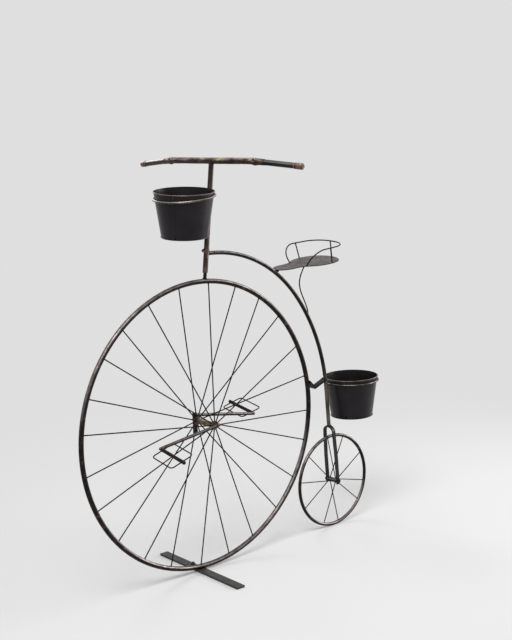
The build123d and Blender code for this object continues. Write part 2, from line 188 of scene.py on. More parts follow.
# Camera at the photograph's viewing angle, in metres
CAMERA_PLACE = (-1.7806, -2.3011, 1.1168)
CAMERA_RIGHT = (0.7511, -0.6590, -0.0395)
CAMERA_UP = (0.1413, 0.1020, 0.9847)
CAMERA_BACK = (-0.6448, -0.7452, 0.1697)
SENSOR_WIDTH = 36
LENS = 70.14


def set_camera():
    camera = new_object("camera", bpy.data.cameras.new("camera"))
    turn = Matrix(list(zip(CAMERA_RIGHT, CAMERA_UP, CAMERA_BACK)))
    camera.matrix_world = Matrix.Translation(CAMERA_PLACE) @ turn.to_4x4()
    camera.data.sensor_width = SENSOR_WIDTH
    camera.data.lens = LENS
    bpy.context.scene.camera = camera


set_camera()


# Shader nodes
def node(tree, kind, **values):
    """A node with values for its inputs or its settings, by name."""
    made = tree.nodes.new(kind)
    for key, value in values.items():
        if key in made.inputs:
            made.inputs[key].default_value = value
        else:
            setattr(made, key, value)
    return made


def computed(tree, operation, *sources):
    """The result of a Math node, whose sources are sockets or numbers."""
    made = node(tree, "ShaderNodeMath", operation=operation)
    for socket, source in zip(made.inputs, sources):
        if isinstance(source, float):
            socket.default_value = source
        else:
            tree.links.new(source, socket)
    return made.outputs[0]


def ramp(tree, source, stops):
    """Colours by a source's value. Stops are rows of place and colour."""
    made = node(tree, "ShaderNodeValToRGB")
    elements = made.color_ramp.elements
    while len(elements) < len(stops):
        elements.new(0.5)
    for element, (place, colour) in zip(elements, stops):
        element.position = place
        element.color = (*colour, 1)
    tree.links.new(source, made.inputs["Fac"])
    return made.outputs["Color"]


def grey(value):
    return (value, value, value)


def grey_ramp(tree, source, *stops):
    """Shares by a source's value. Stops are rows of place and share."""
    return ramp(tree, source, [(place, grey(value)) for place, value in stops])


def mottled(tree, scale, detail=5.0, roughness=0.6, stretch=(1, 1, 1)):
    """Noise on the object's own coordinates, which are the row's."""
    place = node(tree, "ShaderNodeTexCoord")
    mapped = node(tree, "ShaderNodeMapping", Scale=stretch)
    tree.links.new(place.outputs["Object"], mapped.inputs["Vector"])
    made = node(tree, "ShaderNodeTexNoise", Scale=scale, Detail=detail, Roughness=roughness)
    tree.links.new(mapped.outputs["Vector"], made.inputs["Vector"])
    return made.outputs["Fac"]


def mixed(tree, factor, first, second):
    """Two colours, each a socket or a plain colour, mixed by a factor."""
    made = node(tree, "ShaderNodeMix", data_type="RGBA")
    tree.links.new(factor, made.inputs["Factor"])
    for socket, colour in ((made.inputs[6], first), (made.inputs[7], second)):
        if isinstance(colour, tuple):
            socket.default_value = (*colour, 1)
        else:
            tree.links.new(colour, socket)
    return made.outputs[2]


def coordinate(tree, kind, axis):
    """One axis of the object's own coordinates or normals."""
    place = node(tree, "ShaderNodeTexCoord")
    parts = node(tree, "ShaderNodeSeparateXYZ")
    tree.links.new(place.outputs[kind], parts.inputs["Vector"])
    return parts.outputs[axis]


def facing_up(tree, *stops):
    """A share by how far a face looks up, from 0 for level or down to 1."""
    return grey_ramp(tree, coordinate(tree, "Normal", "Z"), *stops)


def low_down(tree, low, high):
    """A share that is 1 below the first height and 0 above the second."""
    return grey_ramp(tree, coordinate(tree, "Object", "Z"), (low * MM, 1), (high * MM, 0))


def along_bar(tree, stops):
    """Colours by the distance from the bar's middle. Stops are rows of distance and colour."""
    far = computed(tree, "ABSOLUTE", coordinate(tree, "Object", "Y"))
    share = computed(tree, "DIVIDE", far, BAR_HALF * MM)
    return ramp(tree, share, [(y / BAR_HALF, colour) for y, colour in stops])


def rub_and_highlight_share(tree, scale, stretch):
    """How far the paint is rubbed through, in patches on the sides that face up, in a band that is also a
    painted highlight: pale where faces look part way up, darker again at the very top.
    """
    # Painted highlight as well as wear: the band is pale part way up and darker again at the very top
    upward = facing_up(tree, (0.12, 0), (0.42, 1), (0.64, 0.9), (0.95, 0.3))
    patches = grey_ramp(tree, mottled(tree, scale, stretch=stretch), (0.36, 0.35), (0.60, 1))
    return computed(tree, "MULTIPLY", upward, patches)


def new_material(name):
    made = bpy.data.materials.new(name)
    made.use_nodes = True
    tree = made.node_tree
    tree.nodes.clear()
    return made, tree, node(tree, "ShaderNodeOutputMaterial")


def finish_shader(tree, output, colour, gloss, height, bump, metallic, specular=0.5, tint=(1, 1, 1)):
    """The surface from its sockets. Metallic is a number or a socket too."""
    shader = node(tree, "ShaderNodeBsdfPrincipled")
    if isinstance(metallic, float):
        shader.inputs["Metallic"].default_value = metallic
    else:
        tree.links.new(metallic, shader.inputs["Metallic"])
    shader.inputs["Specular IOR Level"].default_value = specular
    shader.inputs["Specular Tint"].default_value = (*tint, 1)
    tree.links.new(colour, shader.inputs["Base Color"])
    tree.links.new(gloss, shader.inputs["Roughness"])
    relief = node(tree, "ShaderNodeBump", Strength=0.6, Distance=bump)
    tree.links.new(height, relief.inputs["Height"])
    tree.links.new(relief.outputs["Normal"], shader.inputs["Normal"])
    tree.links.new(shader.outputs["BSDF"], output.inputs["Surface"])


UPRIGHT_STREAKS = (1, 1, 0.25)
# Patch scale and metallic of the rubbed paint and painted highlight on faces that look up
RUB_AND_HIGHLIGHT_SCALE = 0.7
RUB_AND_HIGHLIGHT_METALLIC = 0.85
GLOSS_SCALE = 2.3


def worn(name, stops, scale, stretch=(1, 1, 1), rough=(0.35, 0.55), grain=900.0, bump=0.00012, metallic=0.3,
         specular=0.22, tint=(1, 1, 1), rubbed=None, lower=None):
    """Worn paint: colour patches, a fine grain and uneven gloss.

    Rubbed is the colour where faces that look up are rubbed to the metal, and it is also a painted highlight
    on them. Lower is other stops for what is low down, in upright streaks, and the two heights between which
    they fade out.
    """
    made, tree, output = new_material(name)
    colour = ramp(tree, mottled(tree, scale, stretch=stretch), stops)
    if lower:
        low_stops, low, high = lower
        streaks = ramp(tree, mottled(tree, scale, stretch=UPRIGHT_STREAKS), low_stops)
        colour = mixed(tree, low_down(tree, low, high), colour, streaks)
    # Rubbed paint and a painted highlight: pale metal on faces that look up
    if rubbed:
        share = rub_and_highlight_share(tree, scale * RUB_AND_HIGHLIGHT_SCALE, stretch)
        colour = mixed(tree, share, colour, rubbed)
        metallic = mixed(tree, share, grey(metallic), grey(RUB_AND_HIGHLIGHT_METALLIC))
    uneven = mottled(tree, scale * GLOSS_SCALE, stretch=stretch)
    gloss = grey_ramp(tree, uneven, (0.35, rough[0]), (0.65, rough[1]))
    fine = mottled(tree, grain, detail=3.0, stretch=stretch)
    finish_shader(tree, output, colour, gloss, fine, bump, metallic, specular, tint)
    return made


# Colours of the finishes
NEAR_BLACK = (0.009, 0.0075, 0.007)
DARK_BROWN = (0.028, 0.019, 0.015)
BROWN = (0.085, 0.050, 0.037)
COPPER = (0.24, 0.125, 0.085)
PALE_COPPER = (0.46, 0.29, 0.23)
# Pale metal rubbed through on faces that look up, which is also a painted highlight
BLACK_RUB_AND_HIGHLIGHT = (0.240, 0.210, 0.200)
PINK_TINT = (1.0, 0.90, 0.87)
UPRIGHT_DARK = (0.014, 0.011, 0.009)
UPRIGHT_OLIVE = (0.075, 0.061, 0.048)
UPRIGHT_PALE = (0.165, 0.142, 0.119)
STRIP_BLACK = (0.010, 0.0105, 0.0112)
STRIP_GREY = (0.021, 0.021, 0.022)
STRIP_BROWN = (0.055, 0.046, 0.041)
# Rubbed through on the strip's faces that look up, which is also a painted highlight
STRIP_RUB_AND_HIGHLIGHT = (0.13, 0.12, 0.115)
FOOT_DARK = (0.030, 0.030, 0.027)
FOOT_GREY = (0.055, 0.055, 0.050)
FOOT_PALE = (0.09, 0.088, 0.080)
OLIVE = (0.075, 0.055, 0.032)
PALE_OLIVE = (0.17, 0.12, 0.075)
GRIP_BLACK = (0.010, 0.0092, 0.010)
GRIP_BROWN = (0.026, 0.022, 0.022)
# Painted highlight on the grip's faces that look up
GRIP_PAINTED_HIGHLIGHT = (0.24, 0.21, 0.205)
POT_DARK = (0.0085, 0.0076, 0.0088)
POT_PALE = (0.0135, 0.0121, 0.0139)
POT_TINT = (1.0, 0.94, 0.98)
LIP_TAN = (0.20, 0.145, 0.11)
# Tan lip rubbed on faces that look up, which is also a painted highlight
LIP_RUB_AND_HIGHLIGHT = (0.20, 0.15, 0.12)
SILVER_DARK = (0.09, 0.070, 0.062)
SILVER = (0.24, 0.200, 0.185)
# Pale on the ring's faces that look up: rubbed paint and a painted highlight
SILVER_RUB_AND_HIGHLIGHT = (0.42, 0.365, 0.350)
SHEET_DARK = (0.058, 0.053, 0.051)
SHEET_GREY = (0.118, 0.110, 0.107)
SHEET_PALE = (0.180, 0.169, 0.166)
CAP_DARK = (0.14, 0.075, 0.05)
CAP_COPPER = (0.36, 0.21, 0.16)
CAP_PALE = (0.60, 0.42, 0.35)
# Painted shade on the bark's underside
BARK_PAINTED_SHADE = (0.010, 0.0065, 0.005)

# Bark's pale and dark colours by the distance from the bar's middle
BARK_PALE = (
    (8, (0.13, 0.105, 0.065)),
    (38, (0.50, 0.40, 0.26)),
    (58, (0.28, 0.185, 0.165)),
    (125, (0.33, 0.22, 0.19)),
    (152, (0.50, 0.36, 0.26)),
    (172, (0.40, 0.28, 0.21)),
    (186, (0.10, 0.072, 0.060)),
)
BARK_DARK = (
    (8, (0.022, 0.017, 0.011)),
    (38, (0.075, 0.045, 0.018)),
    (58, (0.026, 0.014, 0.013)),
    (125, (0.028, 0.015, 0.014)),
    (150, (0.030, 0.017, 0.012)),
    (166, (0.050, 0.032, 0.024)),
    (186, (0.020, 0.016, 0.015)),
)

# The bar's cap has painted shade, darker from its edge to its end face
CAP_EDGE_Y = 296.6
CAP_FACE_Y = 298.2

# The upright has olive and pale upright streaks below the first height, and is plain above the second
STREAKED_BELOW_Z = 330
PLAIN_ABOVE_Z = 450
UPRIGHT_STOPS = [(0.40, UPRIGHT_DARK), (0.49, UPRIGHT_OLIVE), (0.60, UPRIGHT_PALE)]
BLACK_PAINT = {
    "stops": [(0.50, NEAR_BLACK), (0.61, DARK_BROWN), (0.71, BROWN), (0.81, COPPER)],
    "scale": 70.0,
    "rough": (0.26, 0.38),
    "specular": 0.14,
    "tint": PINK_TINT,
    # Rubbed through and painted highlight on faces that look up
    "rubbed": BLACK_RUB_AND_HIGHLIGHT,
}

MATERIALS = {
    "black_metal": worn("antique_black", **BLACK_PAINT),
    "backbone_metal": worn(
        "backbone_metal", **BLACK_PAINT, lower=(UPRIGHT_STOPS, STREAKED_BELOW_Z, PLAIN_ABOVE_Z),
    ),
    "dark_strip": worn(
        "dark_strip", [(0.44, STRIP_BLACK), (0.64, STRIP_GREY), (0.80, STRIP_BROWN)], 90.0,
        rough=(0.32, 0.48), metallic=0.15, specular=0.2, rubbed=STRIP_RUB_AND_HIGHLIGHT,
    ),
    "thin_black": worn(
        "thin_black", [(0.46, NEAR_BLACK), (0.62, DARK_BROWN), (0.74, BROWN)], 16.0,
        rough=(0.28, 0.42), metallic=0.05, specular=0.05, tint=PINK_TINT,
    ),
    "brown_metal": worn(
        "antique_brown", [(0.44, NEAR_BLACK), (0.55, DARK_BROWN), (0.65, BROWN), (0.75, COPPER)], 95.0,
        stretch=UPRIGHT_STREAKS, rough=(0.2, 0.34), metallic=0.4, specular=0.4, tint=PINK_TINT,
    ),
    "foot_metal": worn(
        "worn_strip", [(0.38, FOOT_DARK), (0.60, FOOT_GREY), (0.76, FOOT_PALE)], 110.0,
        rough=(0.5, 0.7), metallic=0.15,
    ),
    "rubbed_copper": worn(
        "rubbed_copper", [(0.36, DARK_BROWN), (0.47, BROWN), (0.60, COPPER), (0.70, PALE_COPPER)], 160.0,
        rough=(0.3, 0.5), metallic=0.4, specular=0.4, tint=PINK_TINT,
    ),
    "olive_copper": worn(
        "olive_copper", [(0.38, DARK_BROWN), (0.50, OLIVE), (0.62, PALE_OLIVE)], 90.0,
        rough=(0.28, 0.45), metallic=0.35,
    ),
    # The grip's pale top is a painted highlight
    "black_grip": worn(
        "black_grip", [(0.45, GRIP_BLACK), (0.75, GRIP_BROWN)], 60.0, stretch=(1, 0.15, 1),
        rough=(0.15, 0.24), bump=0.00003, metallic=0.1, specular=0.12, rubbed=GRIP_PAINTED_HIGHLIGHT,
    ),
    "pot_black": worn(
        "pot_black", [(0.40, POT_DARK), (0.70, POT_PALE)], 25.0,
        rough=(0.29, 0.37), grain=1500.0, bump=0.00004, metallic=0.1, specular=0.2, tint=POT_TINT,
    ),
    # The lip's tan line is wear and a painted highlight
    "lip_wear_and_highlight": worn(
        "lip_wear_and_highlight", [(0.42, DARK_BROWN), (0.56, BROWN), (0.70, LIP_TAN)], 30.0,
        rough=(0.28, 0.45), bump=0.00003, metallic=0.3, rubbed=LIP_RUB_AND_HIGHLIGHT,
    ),
    # The ring's pale top is rubbed paint and a painted highlight
    "silver_black": worn(
        "silver_black", [(0.40, DARK_BROWN), (0.52, SILVER_DARK), (0.64, SILVER)], 18.0,
        rough=(0.26, 0.38), bump=0.00003, metallic=0.4, specular=0.3, rubbed=SILVER_RUB_AND_HIGHLIGHT,
    ),
    "weld": worn(
        "rusted_weld", [(0.46, NEAR_BLACK), (0.58, DARK_BROWN), (0.69, BROWN), (0.79, COPPER)], 260.0,
        rough=(0.45, 0.7), grain=1600.0, bump=0.0002, metallic=0.2,
    ),
}


def sheet_material():
    """Mottled grey sheet, with painted shade on the cut edges and underside."""
    made, tree, output = new_material("grey_sheet")
    patches = mottled(tree, 90.0)
    top = ramp(tree, patches, [(0.34, SHEET_DARK), (0.5, SHEET_GREY), (0.68, SHEET_PALE)])
    gloss = grey_ramp(tree, patches, (0.35, 0.56), (0.65, 0.72))
    # Painted shade: near black where faces do not look up, on the cut edges and underside
    colour = mixed(tree, facing_up(tree, (0.55, 0), (0.9, 1)), NEAR_BLACK, top)
    fine = mottled(tree, 400.0, detail=2.0)
    finish_shader(tree, output, colour, gloss, fine, bump=0.0001, metallic=0.1, specular=0.15)
    return made


def bark_material():
    """Lengthwise streaks: olive and tan by the stem, then mauve-brown, tan at the knots, with painted shade
    below.
    """
    made, tree, output = new_material("bark")
    pale = along_bar(tree, BARK_PALE)
    dark = along_bar(tree, BARK_DARK)
    streaks = mottled(tree, 130.0, detail=6.0, roughness=0.65, stretch=(1, 0.22, 1))
    streaked = mixed(tree, grey_ramp(tree, streaks, (0.43, 0), (0.58, 1)), dark, pale)
    gloss = grey_ramp(tree, streaks, (0.35, 0.38), (0.65, 0.6))
    # Painted shade on the faces that look down
    colour = mixed(tree, facing_up(tree, (0.06, 0.12), (0.34, 1)), BARK_PAINTED_SHADE, streaked)
    fine = mottled(tree, 700.0, detail=4.0, stretch=(1, 0.3, 1))
    finish_shader(tree, output, colour, gloss, fine, bump=0.0003, metallic=0.1, specular=0.16, tint=PINK_TINT)
    return made


def cap_material():
    """Rubbed copper, with painted shade underneath and towards the end face."""
    made, tree, output = new_material("cap_copper")
    patches = mottled(tree, 180.0)
    copper = ramp(tree, patches, [(0.36, CAP_DARK), (0.50, CAP_COPPER), (0.64, CAP_PALE)])
    gloss = grey_ramp(tree, patches, (0.35, 0.26), (0.65, 0.42))
    end = along_bar(tree, ((CAP_EDGE_Y, grey(0)), (CAP_FACE_Y, grey(0.8))))
    # Painted shade: brown on the faces that look down
    side = mixed(tree, facing_up(tree, (0.05, 0.1), (0.55, 1)), BROWN, copper)
    fine = mottled(tree, 900.0, detail=3.0)
    # Painted shade towards the end face
    colour = mixed(tree, end, side, NEAR_BLACK)
    finish_shader(tree, output, colour, gloss, fine, bump=0.0001, metallic=0.4, tint=PINK_TINT)
    return made


MATERIALS["grey_sheet"] = sheet_material()
MATERIALS["bark"] = bark_material()
MATERIALS["cap_copper"] = cap_material()

# The solids whose finish here isn't their record slot's
OWN_MATERIAL = {
    "thin_black": (
        "front_spokes_left", "front_spokes_right", "rear_spokes", "seat_rail", "seat_posts", "seat_strut",
        "pedal_loop_left", "pedal_loop_right", "pedal_tube_left", "pedal_tube_right", "pedal_spindle_left",
        "pedal_spindle_right", "rear_axle", "rim_bracket",
    ),
    "brown_metal": ("stem_tube",),
    "backbone_metal": ("backbone",),
    "olive_copper": ("front_hub",),
    "foot_metal": ("foot_bar",),
    "dark_strip": ("rear_fork",),
    "cap_copper": ("bar_caps",),
    "silver_black": ("front_ring",),
    "bark": ("handlebar",),
}
MATERIAL_OF = {name: material for material, names in OWN_MATERIAL.items() for name in names}

for part in frame["record"]["subparts"]:
    mesh = NODES[part["node"]].data
    mesh.materials.clear()
    mesh.materials.append(MATERIALS[MATERIAL_OF.get(part["node"], part["material_slot"])])


# Meshes
class Sheet:
    """Collects points and faces for one mesh piece."""

    def __init__(self):
        self.points = []
        self.faces = []

    def add_rings(self, rings, closed=False):
        """Quads between rings of points with equal counts, and a face at each end of an open run."""
        start, width = len(self.points), len(rings[0])
        for ring in rings:
            self.points.extend(ring)
        count = len(rings)
        for i in range(count if closed else count - 1):
            a, b = start + i * width, start + (i + 1) % count * width
            for j in range(width):
                k = (j + 1) % width
                self.faces.append((a + j, a + k, b + k, b + j))
        if not closed:
            self.faces.append(tuple(start + j for j in reversed(range(width))))
            self.faces.append(tuple(start + (count - 1) * width + j for j in range(width)))

    def piece(self, name, body, material="weld", slot="black_metal"):
        """The object in metres, smooth and on its body. The slot is not used."""
        mesh = bpy.data.meshes.new(name)
        mesh.from_pydata([tuple(p * MM) for p in self.points], [], self.faces)
        mesh.validate()
        mesh.materials.append(MATERIALS[material])
        for face in mesh.polygons:
            face.use_smooth = True
        made = new_object(name, mesh)
        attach(made, body)
        return made


def turns(count):
    """Angles evenly round a circle."""
    return [math.tau * i / count for i in range(count)]


def toward(first, second, turn):
    """The direction at this angle from the first of two directions to the second."""
    return first * math.cos(turn) + second * math.sin(turn)


def upright_pair(way):
    """Two directions at right angles to way and to each other."""
    first = way.cross(Z) if abs(way.z) < 0.9 else way.cross(X)
    first.normalize()
    return first, way.cross(first)


def plane_axes(rise):
    """Along, across and out of a plane that rises by these shares along X and Y."""
    normal = Vector((-rise[0], -rise[1], 1)).normalized()
    along = Vector((1, 0, rise[0])).normalized()
    return along, normal.cross(along), normal


# Beads of weld. Standoff is a share of a bead's size, and least height a share of the tube's radius
BEAD_STANDOFF = 0.3
BEAD_LEAST_HEIGHT = 0.35
BEAD_RIPPLE = 0.14
BEAD_ROUGH = 0.35
BEAD_GRAIN = 0.4
FINE = {"around": 16, "section": 6}
MEDIUM = {"around": 18, "section": 6}

# Lumps of weld. Start and rise are shares of a lump's height
LUMP_START = -0.5
LUMP_RISE = 1.4
LUMP_TIP = 0.02
LUMP_ROUGH = 0.3
LUMP_GRAIN = 0.35


def weld(sheet, centre, rod_way, rod, bead, tube=0.0, tube_way=X, ripples=7, around=28, section=8):
    """A lumpy bead round a rod where it meets a tube, whose axis crosses at the centre, or a flat face."""
    rod_way = rod_way.normalized()
    tube_way = (tube_way - rod_way * tube_way.dot(rod_way)).normalized()
    across = rod_way.cross(tube_way)
    reach = rod + BEAD_STANDOFF * bead
    rings = []
    for angle in turns(around):
        side = reach * math.sin(angle)
        height = math.sqrt(max(tube**2 - side**2, (BEAD_LEAST_HEIGHT * tube) ** 2))
        out = toward(tube_way, across, angle)
        core = centre + out * reach + rod_way * height
        swell = 1 + BEAD_RIPPLE * math.sin(ripples * angle) + BEAD_ROUGH * noise.noise(core * BEAD_GRAIN)
        rings.append([core + toward(out, rod_way, turn) * bead * swell for turn in turns(section)])
    sheet.add_rings(rings, closed=True)


def lump(sheet, centre, way, wide, high, around=12, stacks=6):
    """A rough dome of weld metal, half sunk in what it sits on."""
    way = way.normalized()
    first, second = upright_pair(way)
    rings = []
    for i in range(stacks + 1):
        lift = LUMP_START + LUMP_RISE * i / stacks
        girth = math.sqrt(max(LUMP_TIP, 1 - lift**2))
        ring = []
        for turn in turns(around):
            out = toward(first, second, turn)
            point = centre + out * girth * wide + way * lift * high
            ring.append(point + out * wide * LUMP_ROUGH * noise.noise(point * LUMP_GRAIN))
        rings.append(ring)
    sheet.add_rings(rings)


def turned(sheet, start, way, outline, around=24, flat_sides=0):
    """A turned solid, or one with flat sides. The outline is rows of distance along way and radius."""
    way = way.normalized()
    first, second = upright_pair(way)
    rings = []
    for along, radius in outline:
        ring = []
        for turn in turns(around):
            reach = radius
            if flat_sides:
                sector = math.tau / flat_sides
                reach = radius / math.cos((turn % sector) - sector / 2)
            ring.append(start + way * along + toward(first, second, turn) * reach)
        rings.append(ring)
    sheet.add_rings(rings)


def hoop(sheet, centre, axes, radius, wire, around=120, section=10):
    """A ring of round wire in the plane of the first two axes."""
    along, side, normal = axes
    rings = []
    for turn in turns(around):
        out = toward(along, side, turn)
        rings.append([centre + out * radius + toward(out, normal, roll) * wire for roll in turns(section)])
    sheet.add_rings(rings, closed=True)


# Welds of the wheels. A spoke's lump at the hub is this much of its bead high
SPOKE_LUMP_HEIGHT = 1.6


def wheel_welds(wheel):
    """A bead where each spoke meets the rim, and a lump where it meets the hub."""
    made = Sheet()
    for y, angles in wheel.sides:
        for angle in angles:
            out = toward(X, Z, math.radians(angle))
            finish = wheel.middle + out * wheel.radius
            start = wheel.hub + (finish - wheel.hub).normalized() * wheel.hub_radius + Y * y
            inward, rim_way = start - finish, out.cross(Y)
            weld(made, finish, inward, wheel.spoke, wheel.bead, wheel.tube, rim_way, ripples=4, **FINE)
            lump(made, start, -inward, wheel.spoke + wheel.bead, wheel.bead * SPOKE_LUMP_HEIGHT)
    return made


wheel_welds(FRONT_WHEEL).piece("front_wheel_welds", "frame")
wheel_welds(REAR_WHEEL).piece("rear_wheel_welds", "rear_wheel")

# Beads of the frame: centre, the rod's direction and radius, the bead's size, the tube's radius and direction
BAR_WELD_ROD = STEM_TUBE * 0.93
FRAME_BEADS = (
    (stem_point(STUD_WELD_Z), STEM_WAY, STUD, 1.3, FRONT_WHEEL.tube, X),
    (stem_point(BACKBONE_Z), X, BACKBONE_TUBE, 1.4, STEM_TUBE, STEM_WAY),
    (stem_point(BAR_Z), -STEM_WAY, BAR_WELD_ROD, 1.6, BAR, Y),
    (upright_point(FORK_TOP_Z), UPRIGHT_WAY, BACKBONE_TUBE, 1.3, 0.0, X),
)
SEAT_BEAD = 0.8
RING_STUB_BEAD = 1.1
UPRIGHT_STUB_BEAD = 1.2

# Lumps of the frame. Their sizes are half their width, and their height
FOOT_LUMPS = ((9.5, 6.0), (9.5, -6.0), (3.0, 5.0), (3.0, -5.0), (11.5, 0.0))
FOOT_LUMP_Z = 5.2
FOOT_LUMP = (2.6, 2.0)

# Across and above the point where the front ring touches the stem
HOOP_LUMPS = ((-4.2, 0.6), (4.2, 0.6), (0, 2.6), (0, -2.4))
HOOP_TOUCH = 1.5
HOOP_LUMP_LEAN = 0.6
HOOP_LUMP = (2.2, 1.6)

# Place, direction and size, on the rim and then on the upright
RIM_LUMPS = (
    ((383.0, -7.0, 400.0), (0.4, -0.84, -0.3), (3.6, 2.0)),
    ((384.0, -5.2, 393.5), (0.4, -0.624, -0.3), (3.2, 2.0)),
    ((383.0, 7.0, 400.0), (0.4, 0.84, -0.3), (3.4, 2.0)),
)
BRACKET_LUMPS_Y = (-6.5, 0, 6.5)
BRACKET_LUMPS = (
    ((437.6, 405.0), (-0.5, 0, 1), (2.4, 1.6)),
    ((437.0, 399.0), (-0.5, 0, -1), (2.2, 1.4)),
)

# Along the seat plate and below it, under its nose
NOSE_LUMPS = ((6, 0.4), (9.5, 1.6), (13, 3.0))
NOSE_LUMP = (4.2, 3.6)
POST_LUMP = (2.2, 1.6)
STRUT_FOOT_LUMP = (3.0, 2.2)
STRUT_HEAD_LUMP = (3.4, 2.0)


def weld_stem_and_upright(sheet):
    for bead in FRAME_BEADS:
        weld(sheet, *bead)


def weld_foot(sheet):
    for x, y in FOOT_LUMPS:
        lump(sheet, Vector((x, y, FOOT_LUMP_Z)), Z, *FOOT_LUMP)


def weld_front_ring(sheet):
    along, side, normal = plane_axes(HOOP_RISE)
    touch = HOOP_CENTRE + along * (HOOP_RADIUS + HOOP_TOUCH)
    for across, lift in HOOP_LUMPS:
        lump(sheet, touch + side * across + normal * lift, normal * lift + X * HOOP_LUMP_LEAN, *HOOP_LUMP)


def weld_rear_ring(sheet):
    """A bead at each end of the stub between the upright and the ring."""
    ring = RINGS["rear"]
    slope = (POT_RIM_RADIUS - POT_BASE_RADIUS) / POT_HEIGHT
    radius = POT_RIM_RADIUS - slope * ring.below_top + RING_GAP + RING_WIRE
    weld(sheet, ring.centre - X * radius, -X, STUB, RING_STUB_BEAD, RING_WIRE, Y, around=18)
    weld(sheet, upright_point(ring.centre.z), X, STUB, UPRIGHT_STUB_BEAD, BACKBONE_TUBE, Z, around=18)


def weld_bracket(sheet):
    """A patch of weld on the rim, and lumps above and below the bracket's end on the upright."""
    for place, way, size in RIM_LUMPS:
        lump(sheet, Vector(place), Vector(way), *size)
    for y in BRACKET_LUMPS_Y:
        for (x, z), way, size in BRACKET_LUMPS:
            lump(sheet, Vector((x, y, z)), Vector(way), *size)


def weld_seat(sheet):
    for foot, head in RAIL_ENDS + RAIL_POSTS:
        low, high = seat_point(*foot, SEAT_THICK), seat_point(*head, RAIL_HEIGHT)
        weld(sheet, low, high - low, SEAT_WIRE, SEAT_BEAD, **FINE)
        if (foot, head) in RAIL_POSTS:
            lump(sheet, high - (high - low).normalized() * SEAT_WIRE, low - high, *POST_LUMP)
    for along, down in NOSE_LUMPS:
        lump(sheet, seat_point(along, 0, -down), -SEAT_UP, *NOSE_LUMP)
    strut_foot = BACKBONE_CENTRE + STRUT_WAY * (BACKBONE_RADIUS + BACKBONE_TUBE)
    lump(sheet, strut_foot, STRUT_WAY, *STRUT_FOOT_LUMP)
    lump(sheet, seat_point(STRUT_HEAD, 0, 0), -SEAT_UP, *STRUT_HEAD_LUMP)


frame_welds = Sheet()
weld_stem_and_upright(frame_welds)
weld_foot(frame_welds)
weld_front_ring(frame_welds)
weld_rear_ring(frame_welds)
weld_bracket(frame_welds)
weld_seat(frame_welds)
frame_welds.piece("frame_welds", "frame")

# Nut on the far side of the foot bar, with the end of its screw. Outlines are rows of distance and radius
FOOT_NUT = Vector((6.0, 38, 4.8))
FOOT_NUT_HEXAGON = ((0, 5.0), (3.4, 5.0), (4.2, 4.2))
FOOT_NUT_SCREW = ((4.0, 2.6), (6.2, 2.6), (6.8, 1.9))
foot_nut = Sheet()
turned(foot_nut, FOOT_NUT, Z, FOOT_NUT_HEXAGON, flat_sides=6)
turned(foot_nut, FOOT_NUT, Z, FOOT_NUT_SCREW)
foot_nut.piece("foot_nut", "frame", "foot_metal")

# Domed nut on the front of the stem, level with the backbone and a little sunk in the tube
BOLT_Z = BACKBONE_Z + 1
BOLT_SUNK = 0.6
BOLT_START = stem_point(BOLT_Z) - X * (STEM_TUBE - BOLT_SUNK)
BOLT_WASHER = ((0, 4.9), (0.9, 5.3), (1.7, 5.0))
BOLT_HEXAGON = ((1.2, 3.9), (5.0, 3.9), (5.6, 3.4))
BOLT_DOME = ((4.6, 3.4), (6.4, 3.1), (7.6, 2.2), (8.1, 0.9))
bolt = Sheet()
turned(bolt, BOLT_START, -X, BOLT_WASHER)
turned(bolt, BOLT_START, -X, BOLT_HEXAGON, flat_sides=6)
turned(bolt, BOLT_START, -X, BOLT_DOME)
bolt.piece("stem_bolt", "frame", "rubbed_copper", "rubbed_copper")

# Welds of the cranks and pedals. The reaches are the loop's two ends along the spindle
CRANK_BEAD = 0.9
CRANK_LUMP = (3.6, 1.8)
CRANK_LUMP_Y = CRANK_Y + CRANK_BAR * 0.9
PEDAL_BEAD = 0.8
PEDAL_START = CRANK_BAR + PEDAL_GAP
PEDAL_REACHES = (PEDAL_START + PEDAL_WIRE, PEDAL_START + PEDAL_LENGTH - PEDAL_WIRE)


def spindle_way(spindle):
    """The direction of a pedal's spindle, away from the crank."""
    tilt, swing = math.radians(spindle.tilt), math.radians(spindle.swing)
    level = (math.sin(swing) * math.cos(tilt), math.cos(swing) * math.cos(tilt), math.sin(tilt))
    return Vector(level) * spindle.sign


def loop_way(spindle, way):
    """The direction from a pedal's tube to its wire loop's side."""
    level = (X - way * X.dot(way)).normalized()
    upward = level.cross(way)
    if upward.z < 0:
        upward = -upward
    return toward(level, upward, math.radians(spindle.roll))


crank_welds = Sheet()
for side, spindle in SPINDLES.items():
    way = spindle_way(spindle)
    out = loop_way(spindle, way)
    weld(crank_welds, spindle.end, way, PEDAL_SPINDLE, CRANK_BEAD, CRANK_BAR, Z, **MEDIUM)
    arm_face = FRONT_WHEEL.hub + Y * spindle.sign * CRANK_LUMP_Y
    lump(crank_welds, arm_face, Y * spindle.sign, *CRANK_LUMP)
    pedal_welds = Sheet()
    for reach in PEDAL_REACHES:
        centre = spindle.end + way * reach
        for wire_way in (-out, out):
            weld(pedal_welds, centre, wire_way, PEDAL_WIRE, PEDAL_BEAD, PEDAL_TUBE, way, **FINE)
    pedal_welds.piece(f"pedal_welds_{side}", f"pedal_{side}")
crank_welds.piece("crank_welds", "crank")


